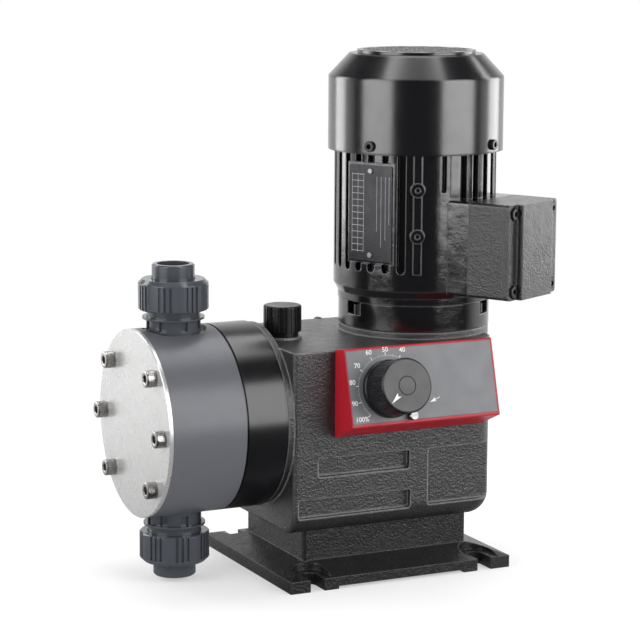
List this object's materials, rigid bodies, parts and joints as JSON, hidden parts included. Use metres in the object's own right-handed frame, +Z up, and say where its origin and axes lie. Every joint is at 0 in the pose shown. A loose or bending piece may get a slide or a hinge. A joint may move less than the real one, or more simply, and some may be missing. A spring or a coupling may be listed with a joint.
{
  "type": "diaphragm metering pump",
  "caption": "Diaphragm metering pump: upright finned motor over a cast worm-gear housing, round plastic dosing head with ball valves and union nuts, and a stroke dial on a sloped face.",
  "frame": {"origin": "middle of the base's footprint, on the surface the pump stands on", "axes": "+Z up along the motor; +X along the stroke axis, away from the dosing head; the stroke dial faces -Y"},
  "size_m": [0.3338, 0.2095, 0.4066],
  "materials": {
    "black_base": "satin",
    "black_casting": "satin",
    "black_ring": "gloss",
    "black_motor": "gloss",
    "cowl_enamel": "gloss",
    "red_housing": "gloss",
    "grey_scale": "satin",
    "dark_plate": "satin",
    "grey_cap": "satin",
    "black_plastic": "satin",
    "board_plastic": "satin",
    "grey_head": "satin",
    "slate_plastic": "satin",
    "white_membrane": "satin",
    "valve_ball": "polished",
    "seal_rubber": "matte",
    "polished_plate": "polished",
    "stainless_screw": "satin",
    "zinc_screw": "satin",
    "black_screw": "satin",
    "shaft_steel": "satin",
    "spring_steel": "satin",
    "core_iron": "satin",
    "bronze": "satin"
  },
  "bodies": {
    "pump": {"base_plate": "black_base", "base_tie_screws": "zinc_screw", "gear_housing": "black_casting", "rear_cover": "black_casting", "cover_screws": "black_screw", "drain_plug": "zinc_screw", "intermediate_ring": "black_ring", "dosing_head": "grey_head", "front_plate": "polished_plate", "head_bolts": "stainless_screw", "membrane": "white_membrane", "suction_valve": "slate_plastic", "discharge_valve": "slate_plastic", "suction_seal": "seal_rubber", "discharge_seal": "seal_rubber", "suction_socket": "slate_plastic", "discharge_socket": "slate_plastic", "drive_bearing_front": "shaft_steel", "drive_bearing_rear": "shaft_steel", "worm_bearing": "shaft_steel", "guide_bush": "bronze", "rod_seal": "seal_rubber", "motor_flange": "black_motor", "motor_bolts": "black_screw", "stator_frame": "black_motor", "stator_core": "core_iron", "motor_bearing_lower": "shaft_steel", "motor_bearing_upper": "shaft_steel", "motor_end_shield": "black_motor", "fan_cowl": "cowl_enamel", "cowl_screws": "black_screw", "nameplate": "dark_plate", "nameplate_rivets": "zinc_screw", "terminal_box": "black_motor", "terminal_lid": "black_motor", "lid_screws": "black_screw", "terminal_block": "board_plastic", "blanking_plug": "black_plastic", "dial_housing": "red_housing", "dial_plate": "grey_scale", "knob_bush": "bronze"},
    "rotor": {"motor_shaft": "shaft_steel", "rotor_core": "core_iron", "cooling_fan": "black_plastic"},
    "wheel": {"worm_wheel": "bronze", "drive_shaft": "shaft_steel"},
    "tappet": {"tappet": "shaft_steel", "membrane_core": "white_membrane", "return_spring": "spring_steel"},
    "knob": {"knob": "black_plastic", "knob_cap": "grey_cap", "adjusting_shaft": "shaft_steel"},
    "lock_screw": {"lock_screw": "zinc_screw"},
    "filler_cap": {"filler_cap": "black_plastic"},
    "suction_ball": {"suction_ball": "valve_ball"},
    "discharge_ball": {"discharge_ball": "valve_ball"},
    "suction_nut": {"suction_nut": "slate_plastic"},
    "discharge_nut": {"discharge_nut": "slate_plastic"}
  },
  "joints": [
    {"name": "rotor_spin", "type": "hinge", "parent": "pump", "child": "rotor", "pos_m": [0.0508, 0, 0.26], "axis": [0, 0, 1], "continuous": true},
    {"name": "wheel_spin", "type": "hinge", "parent": "pump", "child": "wheel", "pos_m": [0.0128, 0, 0.126], "axis": [0, 1, 0], "continuous": true},
    {"name": "tappet_slide", "type": "slide", "parent": "pump", "child": "tappet", "axis": [1, 0, 0], "range_m": [-0.008, 0]},
    {"name": "knob_turn", "type": "hinge", "parent": "pump", "child": "knob", "pos_m": [-0.0193, -0.09273, 0.1556], "axis": [0, -0.9641, 0.2655], "range_deg": [-270, 0]},
    {"name": "lock_screw_turn", "type": "hinge", "parent": "pump", "child": "lock_screw", "pos_m": [-0.0033, -0.0986, 0.13429], "axis": [0, -0.9641, 0.2655], "range_deg": [0, 180]},
    {"name": "filler_cap_lift", "type": "slide", "parent": "pump", "child": "filler_cap", "axis": [0, 0, 1], "range_m": [0, 0.03]},
    {"name": "suction_ball_lift", "type": "slide", "parent": "pump", "child": "suction_ball", "axis": [0, 0, 1], "range_m": [0, 0.003]},
    {"name": "discharge_ball_lift", "type": "slide", "parent": "pump", "child": "discharge_ball", "axis": [0, 0, 1], "range_m": [0, 0.003]},
    {"name": "suction_nut_turn", "type": "hinge", "parent": "pump", "child": "suction_nut", "pos_m": [-0.1578, 0, 0.0272], "axis": [0, 0, 1], "continuous": true},
    {"name": "discharge_nut_turn", "type": "hinge", "parent": "pump", "child": "discharge_nut", "pos_m": [-0.1578, 0, 0.2248], "axis": [0, 0, 1], "continuous": true}
  ],
  "couplings": [
    {"joint": "wheel_spin", "follows": "rotor_spin", "ratio": 0.066667}
  ]
}
